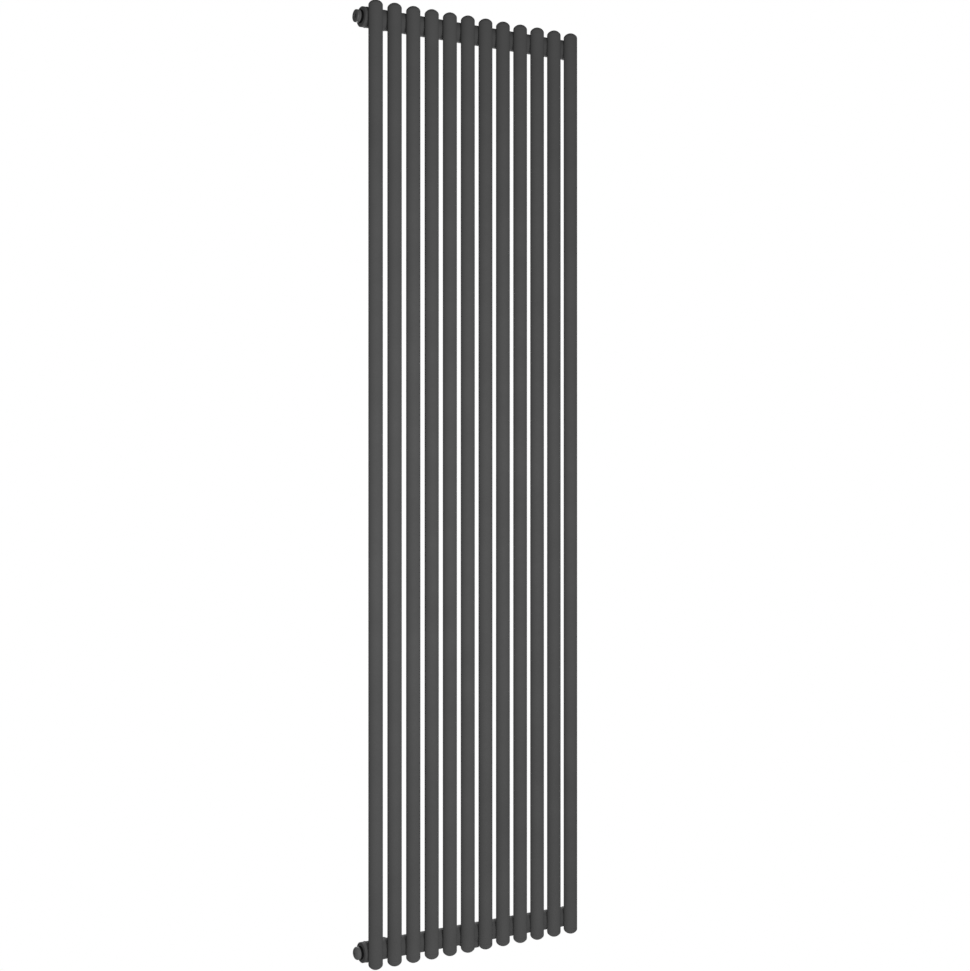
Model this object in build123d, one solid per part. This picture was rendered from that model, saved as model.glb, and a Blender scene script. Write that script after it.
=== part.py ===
"""Wall-hung vertical tube radiator with an air vent, a blanking plug and push-on wall sockets.

Millimetres. +X runs along the headers, +Y points into the wall and +Z is up.
The origin is on the wall plane, at the centre of the four wall fixings.
Every piece is its own solid, and each node is written to parts/NODE.step.
"""
import os
from math import acos, degrees, radians, tan

from build123d import *

# Overall
HEIGHT = 1800.0
TUBE_COUNT = 12
TUBE_PITCH = 40.0

# Vertical tubes and their drawn steel caps: each dome is a round crown and a rounder knuckle,
# and a shallow groove shows where the cap meets the tube
TUBE_RADIUS = 13.5
TUBE_WALL = 1.5
SEAM_BEVEL = 0.3
CAP_SKIRT = 2.5
CROWN_RADIUS = 15.5
KNUCKLE_RADIUS = 7.0

# Headers, which sit behind the tubes and are let into them
HEADER_RADIUS = 19.0
HEADER_WALL = 2.0
HEADER_BEHIND_TUBES = 29.0
HEADER_FROM_END = 26.5
HEADER_OVERHANG = 15.5
HEADER_TO_WALL = 55.0
FLOW_HOLE_RADIUS = 4.5

# Threaded collars in the header ends, at the G1/2 minor diameter
COLLAR_LENGTH = 10.0
COLLAR_EDGE = 1.0
PORT_RADIUS = 9.3

# End fittings: distances are measured outwards from the header's end face
SHANK_RADIUS = 9.2
SHANK_DEPTH = 9.5
SEAL_RING_RADIUS = 12.5
SEAL_RING_LENGTH = 5.2
SEAL_RING_ROUND = 1.0
HEAD_RADIUS = 12.0

# Air vent
FLANGE_TOP = 8.7
HUB_RADIUS = 7.0
HUB_TOP = 11.6
GROOVE_RADIUS = 6.5
GROOVE_FROM, GROOVE_TO = 9.6, 11.0
COUNTERBORE_RADIUS = 4.2
COUNTERBORE_FLOOR = 8.0
SCREW_BORE_RADIUS = 3.0
SEAT_TOP = -6.0
WATERWAY_RADIUS = 1.5
OUTLET_RADIUS = 1.0
SCREW_RADIUS = 2.95
SCREW_TIP = -3.5
SCREW_SHOULDER = 8.4
SCREW_TOP = 11.9
SCREW_SQUARE = 5.0
SEAL_TIP_RADIUS = 2.9
SEAL_TIP_TOP = -3.6
SEAL_PIN_RADIUS = 1.0
SEAL_PIN_LENGTH = 2.0
SEAT_GAP = 0.15
PIN_CLEARANCE = 0.05
NOZZLE_RADIUS = 11.9
NOZZLE_TOP = 12.5
NOZZLE_ROUND = 1.2
NOZZLE_FLOOR = 8.95
NOZZLE_ROOF = 11.75
NOZZLE_HOLE = 4.6
SWIVEL_CLEARANCE = 0.08

# Blanking plug
PLUG_RIM = 8.5
PLUG_TOP = 14.5
HEX_KEY = 6.0
HEX_DEPTH = 4.5

# Wall sockets and the spigots that slide in them
SOCKET_SPACING = 320.0
SOCKET_OFFSET = 9.0
SPIGOT_RADIUS = 7.0
SPIGOT_TO_WALL = 8.0
SPIGOT_CHAMFER = 1.0
SLEEVE_RADIUS = 10.0
SLEEVE_LENGTH = 30.0
SLEEVE_BORE_RADIUS = 7.1
BASE_RADIUS = 13.0
BASE_THICKNESS = 4.0
SCREW_HOLE_RADIUS = 2.75
COUNTERSINK_RADIUS = 4.6
GRUB_RADIUS = 2.5
GRUB_LENGTH = 5.0
GRUB_TO_WALL = 24.0
GRUB_KEY = 2.5
GRUB_KEY_DEPTH = 2.5

# Lower stay, which keeps the bottom of the radiator off the wall
STAY_WIDTH = 28.0
STAY_BLOCK_DEPTH = 30.0
STAY_BLOCK_FROM_WALL = 40.0
STAY_TOP_ABOVE_HEADER_BOTTOM = 5.5
STAY_DROP = 6.5
STAY_ROD_RADIUS = 5.5
STAY_ROD_RISE = 7.5
STAY_ROUND = 1.0
PAD_RADIUS = 8.0
PAD_LENGTH = 14.0
PAD_FACE = 6.0
PAD_ROUND = 1.0

# Worked out from the sizes above
HEADER_Y = -HEADER_TO_WALL
TUBE_Y = HEADER_Y - HEADER_BEHIND_TUBES
HEADER_Z = HEIGHT / 2 - HEADER_FROM_END
KNUCKLE_OUT = TUBE_RADIUS - KNUCKLE_RADIUS
KNUCKLE_ANGLE = degrees(acos(KNUCKLE_OUT / (CROWN_RADIUS - KNUCKLE_RADIUS)))
CROWN_CENTRE = CAP_SKIRT - KNUCKLE_OUT * tan(radians(KNUCKLE_ANGLE))
CAP_HEIGHT = CROWN_CENTRE + CROWN_RADIUS
TUBE_XS = [(i - (TUBE_COUNT - 1) / 2) * TUBE_PITCH for i in range(TUBE_COUNT)]
HEADER_END_X = TUBE_XS[-1] + HEADER_OVERHANG
HEADER_TUBE_HALF = HEADER_END_X - COLLAR_LENGTH
SIDES = {"left": -1, "right": 1}
LEVELS = {"top": 1, "bottom": -1}


def rod(radius, low, high, direction="Z"):
    """A cylinder on a main axis through the origin, between two places on that axis."""
    upright = Pos(0, 0, (low + high) / 2) * Cylinder(radius, high - low)
    turn = {"X": Rot(0, 90, 0), "Y": Rot(-90, 0, 0), "Z": Rot(0, 0, 0)}
    return turn[direction] * upright


def turned(*outline):
    """A piece turned about Z: the outline is closed, in (radius, height) on the XZ plane."""
    return revolve(Plane.XZ * make_face(Curve() + list(outline)), Axis.Z)


def turned_polygon(*points):
    """A turned piece whose half-section is a polygon."""
    return turned(Polyline(*points, close=True))


def header_envelope(level):
    """The full round bar that a header and its collars fill, used to cope what meets it."""
    return Pos(0, HEADER_Y, level * HEADER_Z) * rod(HEADER_RADIUS, -HEADER_END_X, HEADER_END_X, "X")


def outward(side, level):
    """The frame of a header end: its Z runs outwards along the header from the end face."""
    origin = (side * HEADER_END_X, HEADER_Y, level * HEADER_Z)
    return Plane(origin=origin, x_dir=(0, 0, -1), z_dir=(side, 0, 0))


def vertical_tube(x):
    """One upright tube, coped round both headers."""
    half = HEIGHT / 2 - CAP_HEIGHT
    bar = rod(TUBE_RADIUS, -half, half)
    bar = chamfer(bar.edges().filter_by(GeomType.CIRCLE), SEAM_BEVEL)
    tube = Pos(x, TUBE_Y, 0) * (bar - rod(TUBE_RADIUS - TUBE_WALL, -half, half))
    return tube - header_envelope(1) - header_envelope(-1)


def dome_outline(inset):
    """Half of a dome's section, from its foot to its crown, inset from the outside by a wall."""
    knuckle_radius = KNUCKLE_RADIUS - inset
    crown_radius = CROWN_RADIUS - inset
    return [
        CenterArc((KNUCKLE_OUT, CAP_SKIRT), knuckle_radius, 0, KNUCKLE_ANGLE),
        CenterArc((0, CROWN_CENTRE), crown_radius, KNUCKLE_ANGLE, 90 - KNUCKLE_ANGLE),
    ]


def tube_cap(x, level):
    """A thin drawn cap: a short skirt under a dome."""
    inner_radius = TUBE_RADIUS - TUBE_WALL
    cap = turned(
        Line((inner_radius, 0), (TUBE_RADIUS - SEAM_BEVEL, 0)),
        Line((TUBE_RADIUS - SEAM_BEVEL, 0), (TUBE_RADIUS, SEAM_BEVEL)),
        Line((TUBE_RADIUS, SEAM_BEVEL), (TUBE_RADIUS, CAP_SKIRT)),
        *dome_outline(0),
        Line((0, CAP_HEIGHT), (0, CAP_HEIGHT - TUBE_WALL)),
        *dome_outline(TUBE_WALL),
        Line((inner_radius, CAP_SKIRT), (inner_radius, 0)),
    )
    upper = Pos(x, TUBE_Y, HEIGHT / 2 - CAP_HEIGHT) * cap
    return upper if level > 0 else mirror(upper, about=Plane.XY)


def header(level):
    """A header tube with one flow hole into each upright tube."""
    length = (-HEADER_TUBE_HALF, HEADER_TUBE_HALF)
    tube = rod(HEADER_RADIUS, *length, "X") - rod(HEADER_RADIUS - HEADER_WALL, *length, "X")
    for x in TUBE_XS:
        tube -= Pos(x, 0, 0) * rod(FLOW_HOLE_RADIUS, -HEADER_BEHIND_TUBES, 0, "Y")
    return Pos(0, HEADER_Y, level * HEADER_Z) * tube


def end_collar(side, level):
    """A threaded collar that closes a header end down to its port."""
    collar = rod(HEADER_RADIUS, -COLLAR_LENGTH, 0) - rod(PORT_RADIUS, -COLLAR_LENGTH, 0)
    rim = collar.edges().filter_by(GeomType.CIRCLE).group_by(Axis.Z)[-1].sort_by(SortBy.RADIUS)[-1]
    return outward(side, level) * fillet(rim, COLLAR_EDGE)


def seal_ring():
    """The rubber ring between a fitting's head and the header's end face."""
    width = SEAL_RING_RADIUS - SHANK_RADIUS
    section = RectangleRounded(width, SEAL_RING_LENGTH, SEAL_RING_ROUND)
    place = Pos(SHANK_RADIUS + width / 2, SEAL_RING_LENGTH / 2)
    return revolve(Plane.XZ * place * section, Axis.Z)


def vent_body():
    """The vent's shank, flange and hub, with the screw's bore, its seat and a cross-drilled outlet."""
    seat_floor = SEAT_TOP - (SCREW_BORE_RADIUS - WATERWAY_RADIUS)
    body = turned_polygon(
        (WATERWAY_RADIUS, -SHANK_DEPTH),
        (SHANK_RADIUS, -SHANK_DEPTH),
        (SHANK_RADIUS, SEAL_RING_LENGTH),
        (HEAD_RADIUS, SEAL_RING_LENGTH),
        (HEAD_RADIUS, FLANGE_TOP),
        (HUB_RADIUS, FLANGE_TOP),
        (HUB_RADIUS, GROOVE_FROM),
        (GROOVE_RADIUS, GROOVE_FROM),
        (GROOVE_RADIUS, GROOVE_TO),
        (HUB_RADIUS, GROOVE_TO),
        (HUB_RADIUS, HUB_TOP),
        (COUNTERBORE_RADIUS, HUB_TOP),
        (COUNTERBORE_RADIUS, COUNTERBORE_FLOOR),
        (SCREW_BORE_RADIUS, COUNTERBORE_FLOOR),
        (SCREW_BORE_RADIUS, SEAT_TOP),
        (WATERWAY_RADIUS, seat_floor),
    )
    return body - vent_outlet()


def vent_outlet():
    """The drilling that lets the vent's water out, straight down at rest."""
    return Pos(0, 0, (GROOVE_FROM + GROOVE_TO) / 2) * rod(OUTLET_RADIUS, 0, 2 * HEAD_RADIUS, "X")


def vent_nozzle():
    """The swivelling cover, snapped into the hub's groove, with one outlet in its side."""
    bore = HUB_RADIUS + SWIVEL_CLEARANCE
    bead = GROOVE_RADIUS + SWIVEL_CLEARANCE
    bead_from = GROOVE_FROM + SWIVEL_CLEARANCE
    bead_to = GROOVE_TO - SWIVEL_CLEARANCE
    nozzle = turned(
        Polyline(
            (NOZZLE_RADIUS, NOZZLE_TOP - NOZZLE_ROUND),
            (NOZZLE_RADIUS, NOZZLE_FLOOR),
            (bore, NOZZLE_FLOOR),
            (bore, bead_from),
            (bead, bead_from),
            (bead, bead_to),
            (bore, bead_to),
            (bore, NOZZLE_ROOF),
            (NOZZLE_HOLE, NOZZLE_ROOF),
            (NOZZLE_HOLE, NOZZLE_TOP),
            (NOZZLE_RADIUS - NOZZLE_ROUND, NOZZLE_TOP),
        ),
        CenterArc((NOZZLE_RADIUS - NOZZLE_ROUND, NOZZLE_TOP - NOZZLE_ROUND), NOZZLE_ROUND, 0, 90),
    )
    return nozzle - vent_outlet()


def bleed_screw():
    """The square-headed screw that opens the vent, with a socket for the seal tip's pin."""
    pin_socket = SEAL_PIN_RADIUS + PIN_CLEARANCE
    socket_floor = SCREW_TIP + SEAL_PIN_LENGTH
    shank = turned_polygon(
        (pin_socket, SCREW_TIP),
        (SCREW_RADIUS, SCREW_TIP),
        (SCREW_RADIUS, SCREW_SHOULDER),
        (0, SCREW_SHOULDER),
        (0, socket_floor),
        (pin_socket, socket_floor),
    )
    head_height = SCREW_TOP - SCREW_SHOULDER
    head = Box(SCREW_SQUARE, SCREW_SQUARE, head_height)
    return shank + Pos(0, 0, SCREW_SHOULDER + head_height / 2) * head


def seal_tip():
    """The non-turning cone that closes the seat, on a pin in the end of the bleed screw."""
    cone_top = SEAT_TOP - (SCREW_BORE_RADIUS - SEAL_TIP_RADIUS) + SEAT_GAP
    cone_drop = SEAL_TIP_RADIUS - WATERWAY_RADIUS
    return turned_polygon(
        (0, cone_top - cone_drop),
        (WATERWAY_RADIUS, cone_top - cone_drop),
        (SEAL_TIP_RADIUS, cone_top),
        (SEAL_TIP_RADIUS, SEAL_TIP_TOP),
        (SEAL_PIN_RADIUS, SEAL_TIP_TOP),
        (SEAL_PIN_RADIUS, SEAL_TIP_TOP + SEAL_PIN_LENGTH),
        (0, SEAL_TIP_TOP + SEAL_PIN_LENGTH),
    )


def plug_body():
    """The blanking plug: shank and domed head, with a hexagon socket in the face."""
    plug = turned(
        Polyline(
            (0, PLUG_TOP),
            (0, -SHANK_DEPTH),
            (SHANK_RADIUS, -SHANK_DEPTH),
            (SHANK_RADIUS, SEAL_RING_LENGTH),
            (HEAD_RADIUS, SEAL_RING_LENGTH),
            (HEAD_RADIUS, PLUG_RIM),
        ),
        EllipticalCenterArc((0, PLUG_RIM), HEAD_RADIUS, PLUG_TOP - PLUG_RIM, arc_size=90),
    )
    hexagon = RegularPolygon(HEX_KEY / 2, 6, major_radius=False)
    return plug - Pos(0, 0, PLUG_TOP - HEX_DEPTH) * extrude(hexagon, HEX_DEPTH)


def socket_axis(side, level):
    """Where a wall socket's axis meets the wall plane."""
    return Pos(side * SOCKET_SPACING / 2, 0, level * (HEADER_Z + SOCKET_OFFSET))


def wall_socket(side, level):
    """A base on the wall with a sleeve for the spigot and a tapped hole for the grub screw."""
    body = rod(BASE_RADIUS, -BASE_THICKNESS, 0, "Y") + rod(SLEEVE_RADIUS, -SLEEVE_LENGTH, 0, "Y")
    body -= rod(SLEEVE_BORE_RADIUS, -SLEEVE_LENGTH, -BASE_THICKNESS, "Y")
    body -= rod(SCREW_HOLE_RADIUS, -BASE_THICKNESS, 0, "Y")
    sink = COUNTERSINK_RADIUS - SCREW_HOLE_RADIUS
    countersink = Cone(SCREW_HOLE_RADIUS, COUNTERSINK_RADIUS, sink)
    body -= Pos(0, -BASE_THICKNESS + sink / 2, 0) * Rot(90, 0, 0) * countersink
    body -= grub_place(level) * rod(GRUB_RADIUS, 0, GRUB_LENGTH)
    return socket_axis(side, level) * body


def grub_place(level):
    """The grub screw's place in its socket: its Z runs from the spigot out through the sleeve."""
    flip = 0 if level > 0 else 180
    return Pos(0, -GRUB_TO_WALL, level * SLEEVE_BORE_RADIUS) * Rot(flip, 0, 0)


def grub_screws():
    """The four screws that lock the spigots in their sockets."""
    key = extrude(RegularPolygon(GRUB_KEY / 2, 6, major_radius=False), GRUB_KEY_DEPTH)
    screw = rod(GRUB_RADIUS, 0, GRUB_LENGTH) - Pos(0, 0, GRUB_LENGTH - GRUB_KEY_DEPTH) * key
    return Compound(
        [
            socket_axis(side, level) * grub_place(level) * screw
            for side in SIDES.values()
            for level in LEVELS.values()
        ]
    )


def spigot(side, level):
    """A pin welded to the back of a header, coped to its round, that slides in a wall socket."""
    pin = rod(SPIGOT_RADIUS, HEADER_Y, -SPIGOT_TO_WALL, "Y")
    pin = chamfer(pin.edges().group_by(Axis.Y)[-1], SPIGOT_CHAMFER)
    return socket_axis(side, level) * pin - header_envelope(level)


def lower_stay():
    """A block coped to the underside of the bottom header, with a rod back towards the wall."""
    header_bottom = -HEADER_Z - HEADER_RADIUS
    low, high = header_bottom - STAY_DROP, header_bottom + STAY_TOP_ABOVE_HEADER_BOTTOM
    block = Box(STAY_WIDTH, STAY_BLOCK_DEPTH, high - low)
    block = fillet(block.edges().group_by(Axis.Z)[0], STAY_ROUND)
    block = Pos(0, -STAY_BLOCK_FROM_WALL - STAY_BLOCK_DEPTH / 2, (low + high) / 2) * block
    stem = stay_axis() * rod(STAY_ROD_RADIUS, -STAY_BLOCK_FROM_WALL - STAY_ROD_RADIUS, -PAD_FACE, "Y")
    return block + stem - header_envelope(-1)


def stay_axis():
    """Where the lower stay's rod meets the wall plane, a little above the block's underside."""
    return Pos(0, 0, -HEADER_Z - HEADER_RADIUS - STAY_DROP + STAY_ROD_RISE)


def stay_pad():
    """The rubber foot pushed over the end of the stay's rod."""
    pad = rod(PAD_RADIUS, -PAD_LENGTH, 0, "Y") - rod(STAY_ROD_RADIUS, -PAD_LENGTH, -PAD_FACE, "Y")
    rims = pad.edges().filter_by(GeomType.CIRCLE).filter_by(lambda rim: rim.radius == PAD_RADIUS)
    return stay_axis() * fillet(rims, PAD_ROUND)


def build_nodes():
    """Every node of the radiator, by name."""
    nodes = {}
    for number, x in enumerate(TUBE_XS, start=1):
        nodes[f"tube_{number:02d}"] = vertical_tube(x)
        for place, level in LEVELS.items():
            nodes[f"cap_{place}_{number:02d}"] = tube_cap(x, level)
    for place, level in LEVELS.items():
        nodes[f"header_{place}"] = header(level)
        for hand, side in SIDES.items():
            nodes[f"collar_{place}_{hand}"] = end_collar(side, level)
            nodes[f"wall_spigot_{place}_{hand}"] = spigot(side, level)
            nodes[f"wall_socket_{place}_{hand}"] = wall_socket(side, level)
    nodes["grub_screws"] = grub_screws()
    vent_end = outward(SIDES["left"], LEVELS["top"])
    plug_end = outward(SIDES["left"], LEVELS["bottom"])
    nodes["vent_seal_ring"] = vent_end * seal_ring()
    nodes["vent_body"] = vent_end * vent_body()
    nodes["vent_nozzle"] = vent_end * vent_nozzle()
    nodes["vent_seal_tip"] = vent_end * seal_tip()
    nodes["bleed_screw"] = vent_end * bleed_screw()
    nodes["plug_seal_ring"] = plug_end * seal_ring()
    nodes["plug_body"] = plug_end * plug_body()
    nodes["lower_stay"] = lower_stay()
    nodes["stay_pad"] = stay_pad()
    return nodes


os.makedirs("parts", exist_ok=True)
for name, solid in build_nodes().items():
    export_step(solid, f"parts/{name}.step")
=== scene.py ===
"""Looks of a wall-hung radiator of twelve upright tubes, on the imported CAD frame. Metres throughout.

+X runs along the headers, +Y points into the wall and +Z is up. The tubes, headers, brackets and
fittings keep the CAD's shapes and get better finishes. This script adds the weld beads that join
them and the threads in the two open ports, then the floor, the light and the camera.
"""

from bisect import bisect_right
from math import acos, copysign, cos, pi, radians, sin, sqrt, tau

import bpy
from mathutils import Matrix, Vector


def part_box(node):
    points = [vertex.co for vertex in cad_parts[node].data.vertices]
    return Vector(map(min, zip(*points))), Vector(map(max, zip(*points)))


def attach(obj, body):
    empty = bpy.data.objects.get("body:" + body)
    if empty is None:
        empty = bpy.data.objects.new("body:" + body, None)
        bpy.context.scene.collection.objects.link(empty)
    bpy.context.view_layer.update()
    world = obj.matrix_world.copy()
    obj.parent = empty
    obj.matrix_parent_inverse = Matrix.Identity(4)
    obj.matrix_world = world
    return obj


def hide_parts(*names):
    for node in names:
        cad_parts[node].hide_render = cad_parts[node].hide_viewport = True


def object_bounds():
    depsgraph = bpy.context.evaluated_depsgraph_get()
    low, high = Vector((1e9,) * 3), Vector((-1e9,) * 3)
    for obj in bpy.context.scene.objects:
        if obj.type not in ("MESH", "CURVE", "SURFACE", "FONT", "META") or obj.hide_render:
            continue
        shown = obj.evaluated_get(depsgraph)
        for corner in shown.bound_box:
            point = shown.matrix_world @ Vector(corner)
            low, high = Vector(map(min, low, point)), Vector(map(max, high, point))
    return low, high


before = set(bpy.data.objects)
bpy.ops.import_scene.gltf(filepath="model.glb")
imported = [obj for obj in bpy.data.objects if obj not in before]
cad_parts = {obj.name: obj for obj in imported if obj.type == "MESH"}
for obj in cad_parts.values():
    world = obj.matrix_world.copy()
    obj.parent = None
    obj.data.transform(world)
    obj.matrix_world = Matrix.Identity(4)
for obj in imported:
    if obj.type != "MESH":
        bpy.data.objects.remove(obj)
CAD_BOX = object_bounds()

TUBE_COUNT = 12
LEVELS = ("top", "bottom")
SIDES = ("left", "right")

# Weld beads: half the width of each kind, the length of a ripple and the share by which it swells,
# then how finely a bead is divided along and around itself, and how finely its path is measured
TUBE_WELD = 0.0009
SPIGOT_WELD = 0.0012
STAY_WELD = 0.0013
COLLAR_WELD = 0.0006
RIPPLE_LENGTH = 0.002
RIPPLE_SWELL = 0.12
BEAD_SPACING = 0.0004
BEAD_SIDES = 10
PATH_STEPS = 720

# The G1/2 pipe thread in the open ports, the bevel at its mouth and the collar's rounded edge
THREAD_PITCH = 0.001814
THREAD_DEPTH = 0.00116
THREAD_LEAD_IN = 0.0012
COLLAR_EDGE = 0.001
PORT_RADIUS = 0.0093
THREAD_ROWS_PER_TURN = 12
THREAD_COLUMNS = 144
EDGE_STEPS = 5

# Darkest and lightest tone of each finish
PAINT_TONES = ((0.066, 0.066, 0.066), (0.074, 0.074, 0.074))
# The fittings' tones are the radiator paint made lighter: painted light on their faces that turn away from
# the key light.
FITTING_PAINTED_LIGHT_TONES = ((0.088, 0.088, 0.088), (0.102, 0.102, 0.102))
BRACKET_TONES = ((0.058, 0.058, 0.058), (0.070, 0.070, 0.070))
# The plastic's tones are lighter than the nylon itself: painted light on the vent's left-facing face.
PLASTIC_PAINTED_LIGHT_TONES = ((0.078, 0.078, 0.078), (0.094, 0.094, 0.094))
# The rubber's tones are darker than rubber: the seal's own black plus painted shade of the gap round it.
RUBBER_PAINTED_SHADE_TONES = ((0.0015, 0.0015, 0.0015), (0.005, 0.005, 0.0055))
BLACK_NICKEL_TONES = ((0.10, 0.10, 0.105), (0.14, 0.14, 0.145))
BRASS_TONES = ((0.55, 0.38, 0.14), (0.72, 0.53, 0.24))
ZINC_TONES = ((0.42, 0.43, 0.45), (0.62, 0.64, 0.68))
FLOOR_TONES = ((0.80, 0.80, 0.79), (0.84, 0.84, 0.83))

# How far the paint's roughness strays, how the lathe's rings waver, and how far apart the rings of
# the wave texture are at a scale of 1
ROUGHNESS_SWING = 0.06
RING_WAVER = 0.6
WAVE_TEXTURE_PERIOD = tau / 20

# Studio. A softbox is given by its azimuth from the front towards +X, its height above the
# radiator's middle, its width, how tall it is, and its watts.
LENS = 59.53
SENSOR = 36.0
CAMERA_PLACE = (-1.618, -2.720, 0.0316)
CAMERA_YAW = 31.84
CAMERA_SHIFT_UP = -0.0184
BACKDROP = 1.0
AMBIENT = 0.15
LIGHT_DISTANCE = 2.1
KEY_LIGHT = (-23, -0.03, 0.6, 1.0, 48)
BACK_LIGHT = (149, 0.2, 0.8, 1.2, 46)
FLOOR_BELOW = 0.2
FLOOR_RADIUS = 0.45
FLOOR_THICKNESS = 0.01
FLOOR_SIDES = 128


# Sizes that are read from the CAD nodes

def centre_of(node):
    """The middle of a CAD node's box."""
    low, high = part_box(node)
    return (low + high) / 2


def radius_of(node, axis):
    """Half a CAD node's width on one axis."""
    low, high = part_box(node)
    return (high[axis] - low[axis]) / 2


# Paths of the weld beads, all on the round of a header. Each path is a function that gives the
# point for a turn round the joint.

def tube_saddle(number, level):
    """Where one upright tube meets a header."""
    tube = centre_of(f"tube_{number:02d}")
    tube_radius = radius_of(f"tube_{number:02d}", 0)
    header = centre_of(f"header_{level}")
    header_radius = radius_of(f"header_{level}", 2)
    reach = acos((header.y - tube.y - tube_radius) / header_radius)

    def place(turn):
        angle = reach * sin(turn)
        y = header.y - header_radius * cos(angle)
        across = sqrt(max(0.0, tube_radius**2 - (y - tube.y) ** 2))
        return Vector((tube.x + copysign(across, cos(turn)), y, header.z + header_radius * sin(angle)))

    return place


def spigot_saddle(side, level):
    """Where a wall spigot meets the back of a header."""
    spigot = centre_of(f"wall_spigot_{level}_{side}")
    spigot_radius = radius_of(f"wall_spigot_{level}_{side}", 0)
    header = centre_of(f"header_{level}")
    header_radius = radius_of(f"header_{level}", 2)

    def place(turn):
        z = spigot.z + spigot_radius * sin(turn)
        y = header.y + sqrt(header_radius**2 - (z - header.z) ** 2)
        return Vector((spigot.x + spigot_radius * cos(turn), y, z))

    return place


def collar_ring(side, level):
    """Where a collar is welded into the end of a header."""
    header = centre_of(f"header_{level}")
    header_radius = radius_of(f"header_{level}", 2)
    reach = radius_of(f"header_{level}", 0)
    x = header.x + (reach if side == "right" else -reach)

    def place(turn):
        return Vector((x, header.y + header_radius * cos(turn), header.z + header_radius * sin(turn)))

    return place


def stay_outline():
    """Where the lower stay's block meets the underside of the bottom header."""
    low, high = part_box("lower_stay")
    header = centre_of("header_bottom")
    header_radius = radius_of("header_bottom", 2)
    spread = acos((header.z - high.z) / header_radius)
    outline = ((low.x, spread), (high.x, spread), (high.x, -spread), (low.x, -spread), (low.x, spread))
    corners = [Vector(corner) for corner in outline]

    def place(turn):
        corner, share = divmod(4 * turn / tau, 1)
        x, angle = corners[int(corner)].lerp(corners[int(corner) + 1], share)
        return Vector((x, header.y + header_radius * sin(angle), header.z - header_radius * cos(angle)))

    return place


def even_points(place, spacing):
    """Points at an even spacing along a closed path."""
    fine = [place(tau * step / PATH_STEPS) for step in range(PATH_STEPS)]
    fine.append(fine[0])
    passed = [0.0]
    for i in range(PATH_STEPS):
        passed.append(passed[i] + (fine[i + 1] - fine[i]).length)
    count = round(passed[-1] / spacing)
    points = []
    for step in range(count):
        wanted = passed[-1] * step / count
        i = bisect_right(passed, wanted) - 1
        share = (wanted - passed[i]) / (passed[i + 1] - passed[i])
        points.append(fine[i].lerp(fine[i + 1], share))
    return points


def mesh_piece(name, vertices, faces, material, sharp_degrees=180):
    """A new smooth-shaded piece, with sharp edges where its faces turn by more than an angle."""
    mesh = bpy.data.meshes.new(name)
    mesh.from_pydata(vertices, [], faces)
    mesh.shade_smooth()
    mesh.set_sharp_from_angle(angle=radians(sharp_degrees))
    mesh.materials.append(material)
    piece = bpy.data.objects.new(name, mesh)
    bpy.context.scene.collection.objects.link(piece)
    return piece


def weld_bead(name, header_node, places, half_width, material):
    """Rippled beads along closed paths on a header, as one piece."""
    header = centre_of(header_node)
    vertices, faces = [], []
    for place in places:
        points = even_points(place, BEAD_SPACING)
        first = len(vertices)
        for i, point in enumerate(points):
            ahead = points[(i + 1) % len(points)] - points[i - 1]
            out = Vector((0, point.y - header.y, point.z - header.z)).normalized()
            across = out.cross(ahead).normalized()
            ripple = cos(tau * i * BEAD_SPACING / RIPPLE_LENGTH)
            radius = half_width * (1 + RIPPLE_SWELL * ripple)
            for side in range(BEAD_SIDES):
                turn = tau * side / BEAD_SIDES
                vertices.append(point + radius * (cos(turn) * out + sin(turn) * across))
        for i in range(len(points)):
            for side in range(BEAD_SIDES):
                ring, next_ring = i * BEAD_SIDES, (i + 1) % len(points) * BEAD_SIDES
                next_side = (side + 1) % BEAD_SIDES
                corners = (ring + side, next_ring + side, next_ring + next_side, ring + next_side)
                faces.append([first + corner for corner in corners])
    piece = mesh_piece(name, vertices, faces, material)
    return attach(piece, "radiator")


def thread_radius(depth, turn):
    """The bore of an open port at a depth below its face: a rounded thread with a bevelled mouth."""
    wave = 0.5 - 0.5 * cos(tau * depth / THREAD_PITCH + turn)
    mouth = PORT_RADIUS + THREAD_LEAD_IN - depth
    return max(PORT_RADIUS + THREAD_DEPTH * wave, mouth)


def threaded_collar(level, material):
    """The collar round an open port, with its thread cut as a helix."""
    node = f"collar_{level}_right"
    low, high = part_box(node)
    centre = centre_of(node)
    outer = radius_of(node, 2)
    length = high.x - low.x
    bore_rows = round(length / THREAD_PITCH * THREAD_ROWS_PER_TURN)
    depths = [length * (1 - row / bore_rows) for row in range(bore_rows + 1)]
    outside = []
    for step in range(EDGE_STEPS + 1):
        turn = pi / 2 * step / EDGE_STEPS
        outside.append((COLLAR_EDGE * (1 - cos(turn)), outer - COLLAR_EDGE * (1 - sin(turn))))
    outside.append((length, outer))
    rows = len(depths) + len(outside)
    vertices, faces = [], []
    for column in range(THREAD_COLUMNS):
        turn = tau * column / THREAD_COLUMNS
        section = [(depth, thread_radius(depth, turn)) for depth in depths] + outside
        for depth, radius in section:
            vertices.append((high.x - depth, centre.y + radius * cos(turn), centre.z + radius * sin(turn)))
        here, there = column * rows, (column + 1) % THREAD_COLUMNS * rows
        for row in range(rows):
            after = (row + 1) % rows
            faces.append((here + row, here + after, there + after, there + row))
    piece = mesh_piece(f"threaded_{node}", vertices, faces, material, sharp_degrees=40)
    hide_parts(node)
    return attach(piece, "radiator")


# Finishes

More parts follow.
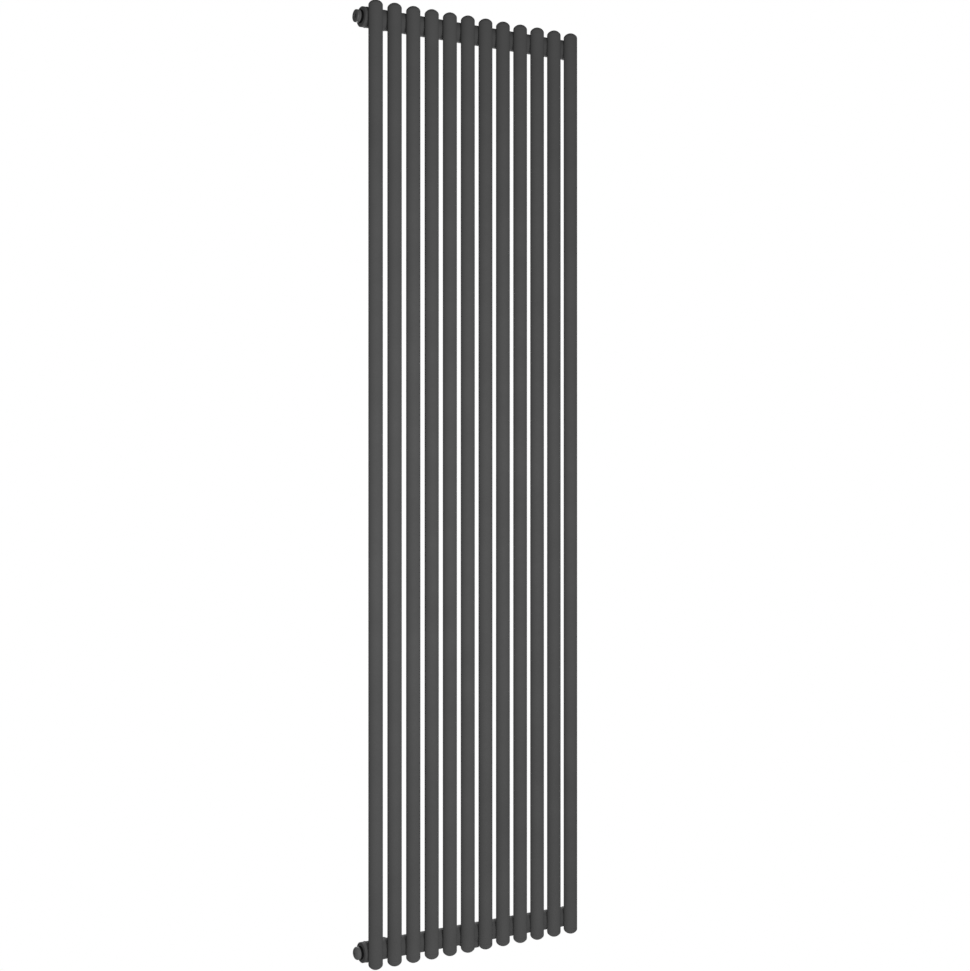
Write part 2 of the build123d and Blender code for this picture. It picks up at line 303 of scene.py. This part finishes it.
class Finish:
    """A Principled material whose patterns are measured in metres on the object."""

    def __init__(self, name, **values):
        self.material = bpy.data.materials.new(name)
        self.material.use_nodes = True
        self.tree = self.material.node_tree
        self.shader = self.tree.nodes["Principled BSDF"]
        for socket, value in values.items():
            self.shader.inputs[socket.replace("_", " ")].default_value = value
        self.coordinates = self.tree.nodes.new("ShaderNodeTexCoord").outputs["Object"]

    def noise(self, spot, detail):
        """Soft noise whose spots are about this wide."""
        texture = self.tree.nodes.new("ShaderNodeTexNoise")
        texture.inputs["Scale"].default_value = 1 / spot
        texture.inputs["Detail"].default_value = detail
        self.tree.links.new(self.coordinates, texture.inputs["Vector"])
        return texture.outputs["Fac"]

    def rings(self, centre, spacing):
        """Fine rings left by a lathe that turned the piece about a line along X."""
        shift = self.tree.nodes.new("ShaderNodeVectorMath")
        shift.operation = "SUBTRACT"
        shift.inputs[1].default_value = centre
        texture = self.tree.nodes.new("ShaderNodeTexWave")
        texture.wave_type = "RINGS"
        texture.rings_direction = "X"
        texture.inputs["Scale"].default_value = WAVE_TEXTURE_PERIOD / spacing
        texture.inputs["Distortion"].default_value = RING_WAVER
        self.tree.links.new(self.coordinates, shift.inputs[0])
        self.tree.links.new(shift.outputs["Vector"], texture.inputs["Vector"])
        return texture.outputs["Fac"]

    def blend(self, pattern, tones):
        """A colour that runs from the first tone to the second with a pattern."""
        mix = self.tree.nodes.new("ShaderNodeMix")
        mix.data_type = "RGBA"
        for end, tone in zip("AB", tones):
            mix.inputs[end].default_value = (*tone, 1)
        self.tree.links.new(self.spread(pattern, low=0.0, high=1.0), mix.inputs["Factor"])
        return mix.outputs["Result"]

    def spread(self, pattern, low, high, spread_from=0.3, spread_to=0.7):
        """A number that runs from low to high as a pattern's own value goes over its spread."""
        scale = self.tree.nodes.new("ShaderNodeMapRange")
        scale.inputs["From Min"].default_value = spread_from
        scale.inputs["From Max"].default_value = spread_to
        scale.inputs["To Min"].default_value = low
        scale.inputs["To Max"].default_value = high
        self.tree.links.new(pattern, scale.inputs["Value"])
        return scale.outputs["Result"]

    def tint(self, colour, pattern, low, high):
        """A colour made darker or lighter by a pattern."""
        factor = self.spread(pattern, low, high)
        scale = self.tree.nodes.new("ShaderNodeVectorMath")
        scale.operation = "SCALE"
        self.tree.links.new(colour, scale.inputs["Vector"])
        self.tree.links.new(factor, scale.inputs["Scale"])
        return scale.outputs["Vector"]

    def bump(self, pattern, height, under=None):
        """A surface relief of this height, in metres, on top of another one."""
        node = self.tree.nodes.new("ShaderNodeBump")
        node.inputs["Distance"].default_value = height
        self.tree.links.new(pattern, node.inputs["Height"])
        if under is not None:
            self.tree.links.new(under, node.inputs["Normal"])
        return node.outputs["Normal"]

    def set(self, **patterns):
        """Feeds patterns to the shader's sockets."""
        for socket, pattern in patterns.items():
            self.tree.links.new(pattern, self.shader.inputs[socket.replace("_", " ")])
        return self.material


def powder_coat(name, tones, roughness):
    """Baked powder paint: a faint orange peel, a fine sandy grain and slow changes of tone."""
    finish = Finish(name, Specular_IOR_Level=0.15, Diffuse_Roughness=0.35)
    tone = finish.blend(finish.noise(spot=0.09, detail=3.0), tones)
    colour = finish.tint(tone, finish.noise(spot=0.0006, detail=1.0), low=0.9, high=1.1)
    patches = finish.noise(spot=0.012, detail=3.0)
    gloss = finish.spread(patches, roughness - ROUGHNESS_SWING, roughness + ROUGHNESS_SWING)
    peel = finish.bump(finish.noise(spot=0.0016, detail=1.0), height=0.00008)
    grain = finish.bump(finish.noise(spot=0.0004, detail=2.0), height=0.00003, under=peel)
    return finish.set(Base_Color=colour, Roughness=gloss, Normal=grain)


def moulded_plastic():
    """Nylon from a spark-eroded mould: an even grain and faint flow marks, in tones lightened as painted
    light on the vent's face.
    """
    finish = Finish("vent_plastic", Specular_IOR_Level=0.4)
    flow = finish.blend(finish.noise(spot=0.004, detail=3.0), PLASTIC_PAINTED_LIGHT_TONES)
    gloss = finish.spread(finish.noise(spot=0.0015, detail=2.0), low=0.42, high=0.55)
    grain = finish.bump(finish.noise(spot=0.00025, detail=2.0), height=0.00003)
    return finish.set(Base_Color=flow, Roughness=gloss, Normal=grain)


def black_rubber_and_painted_shade():
    """Dense black rubber with a faint grey bloom, darkened past rubber's own black as painted shade in the
    gaps beside the plug heads.
    """
    finish = Finish("seal_rubber", Specular_IOR_Level=0.1)
    bloom = finish.blend(finish.noise(spot=0.002, detail=4.0), RUBBER_PAINTED_SHADE_TONES)
    gloss = finish.spread(finish.noise(spot=0.001, detail=2.0), low=0.7, high=0.9)
    grain = finish.bump(finish.noise(spot=0.0003, detail=2.0), height=0.00003)
    return finish.set(Base_Color=bloom, Roughness=gloss, Normal=grain)


def turned_metal(name, tones, node):
    """Metal from a lathe: fine rings about the piece's own line along X, and soft stains."""
    finish = Finish(name, Metallic=1.0)
    stain = finish.blend(finish.noise(spot=0.0015, detail=4.0), tones)
    rings = finish.rings(centre_of(node), spacing=0.00018)
    gloss = finish.spread(rings, low=0.24, high=0.36, spread_from=0.0, spread_to=1.0)
    marks = finish.bump(rings, height=0.000006)
    return finish.set(Base_Color=stain, Roughness=gloss, Normal=marks)


def zinc_plate():
    """Bright zinc on steel: blue-grey clouds and fine pits."""
    finish = Finish("zinc_steel", Metallic=1.0)
    clouds = finish.blend(finish.noise(spot=0.0009, detail=4.0), ZINC_TONES)
    gloss = finish.spread(finish.noise(spot=0.0005, detail=3.0), low=0.28, high=0.46)
    pits = finish.bump(finish.noise(spot=0.0002, detail=2.0), height=0.00001)
    return finish.set(Base_Color=clouds, Roughness=gloss, Normal=pits)


def pale_floor():
    """A pale, matte studio floor with a faint mottle."""
    finish = Finish("studio_floor", Specular_IOR_Level=0.2, Roughness=0.85)
    mottle = finish.blend(finish.noise(spot=0.05, detail=4.0), FLOOR_TONES)
    grain = finish.bump(finish.noise(spot=0.001, detail=2.0), height=0.00005)
    return finish.set(Base_Color=mottle, Normal=grain)


def finish_nodes(finishes):
    """Gives each CAD node its own finish, or else that of the record slot it was packed with."""
    for name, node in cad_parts.items():
        for slot in node.material_slots:
            packed_slot = slot.material.name.split(".")[0]
            slot.material = finishes.get(name) or finishes[packed_slot]


# Studio

def add_floor(material):
    """A round pale floor under the radiator, as far below it as a skirting board leaves."""
    low, high = CAD_BOX
    centre = (low + high) / 2
    top = low.z - FLOOR_BELOW
    vertices, faces = [], []
    for z in (top, top - FLOOR_THICKNESS):
        for step in range(FLOOR_SIDES):
            turn = tau * step / FLOOR_SIDES
            vertices.append((centre.x + FLOOR_RADIUS * cos(turn), centre.y + FLOOR_RADIUS * sin(turn), z))
    faces.append(list(range(FLOOR_SIDES)))
    faces.append(list(range(2 * FLOOR_SIDES - 1, FLOOR_SIDES - 1, -1)))
    for step in range(FLOOR_SIDES):
        after = (step + 1) % FLOOR_SIDES
        faces.append((step, step + FLOOR_SIDES, after + FLOOR_SIDES, after))
    mesh_piece("studio_floor", vertices, faces, material, sharp_degrees=40)


def add_softbox(name, azimuth, height, width, tall, watts):
    """A soft area light that points at the radiator's middle."""
    low, high = CAD_BOX
    centre = (low + high) / 2
    turn = radians(azimuth)
    light = bpy.data.lights.new(name, "AREA")
    light.shape = "RECTANGLE"
    light.size = width
    light.size_y = tall
    light.energy = watts
    lamp = bpy.data.objects.new(name, light)
    lamp.location = centre + Vector((LIGHT_DISTANCE * sin(turn), -LIGHT_DISTANCE * cos(turn), height))
    lamp.rotation_euler = (centre - lamp.location).to_track_quat("-Z", "Y").to_euler()
    lamp.visible_camera = False
    bpy.context.scene.collection.objects.link(lamp)


def add_backdrop():
    """An even white surround, which lights the radiator less than it shows."""
    world = bpy.data.worlds.new("studio")
    world.use_nodes = True
    nodes, links = world.node_tree.nodes, world.node_tree.links
    light = nodes["Background"]
    light.inputs["Strength"].default_value = AMBIENT
    shown = nodes.new("ShaderNodeBackground")
    shown.inputs["Strength"].default_value = BACKDROP
    for background in (light, shown):
        background.inputs["Color"].default_value = (1, 1, 1, 1)
    mix = nodes.new("ShaderNodeMixShader")
    links.new(nodes.new("ShaderNodeLightPath").outputs["Is Camera Ray"], mix.inputs["Fac"])
    links.new(light.outputs["Background"], mix.inputs[1])
    links.new(shown.outputs["Background"], mix.inputs[2])
    links.new(mix.outputs["Shader"], nodes["World Output"].inputs["Surface"])
    bpy.context.scene.world = world


def add_camera():
    """The camera stands to the left of the radiator's front, level and at mid-height."""
    lens = bpy.data.cameras.new("camera")
    lens.lens = LENS
    lens.sensor_fit = "HORIZONTAL"
    lens.sensor_width = SENSOR
    lens.shift_y = CAMERA_SHIFT_UP
    camera = bpy.data.objects.new("camera", lens)
    camera.location = CAMERA_PLACE
    camera.rotation_euler = (pi / 2, 0, -radians(CAMERA_YAW))
    bpy.context.scene.collection.objects.link(camera)
    bpy.context.scene.camera = camera
    bpy.context.scene.view_settings.view_transform = "Standard"


def build_looks():
    """Paints the CAD nodes and adds the welds and the threads."""
    paint = powder_coat("powder_coat", PAINT_TONES, 0.8)
    # The plug and vent bodies get a lighter copy of the paint, painted light that brightens their
    # left-facing faces.
    painted_light_fitting_paint = powder_coat("painted_light_fitting_paint", FITTING_PAINTED_LIGHT_TONES, 0.6)
    finish_nodes({
        "powder_coat": paint,
        "plug_body": painted_light_fitting_paint,
        "vent_body": painted_light_fitting_paint,
        "bracket_steel": powder_coat("bracket_steel", BRACKET_TONES, 0.7),
        "vent_plastic": moulded_plastic(),
        "seal_rubber": black_rubber_and_painted_shade(),
        "black_nickel": turned_metal("black_nickel", BLACK_NICKEL_TONES, "bleed_screw"),
        "brass": turned_metal("brass", BRASS_TONES, "vent_seal_tip"),
        "zinc_steel": zinc_plate(),
    })
    for level in LEVELS:
        header = f"header_{level}"
        tubes = [tube_saddle(number, level) for number in range(1, TUBE_COUNT + 1)]
        spigots = [spigot_saddle(side, level) for side in SIDES]
        collars = [collar_ring(side, level) for side in SIDES]
        weld_bead(f"tube_welds_{level}", header, tubes, TUBE_WELD, paint)
        weld_bead(f"spigot_welds_{level}", header, spigots, SPIGOT_WELD, paint)
        weld_bead(f"collar_welds_{level}", header, collars, COLLAR_WELD, paint)
        threaded_collar(level, paint)
    weld_bead("stay_weld", "header_bottom", [stay_outline()], STAY_WELD, paint)


def build_studio():
    """Adds the floor, the lights, the white surround and the camera."""
    add_floor(pale_floor())
    add_softbox("key_light", *KEY_LIGHT)
    add_softbox("back_light", *BACK_LIGHT)
    add_backdrop()
    add_camera()


build_looks()
build_studio()
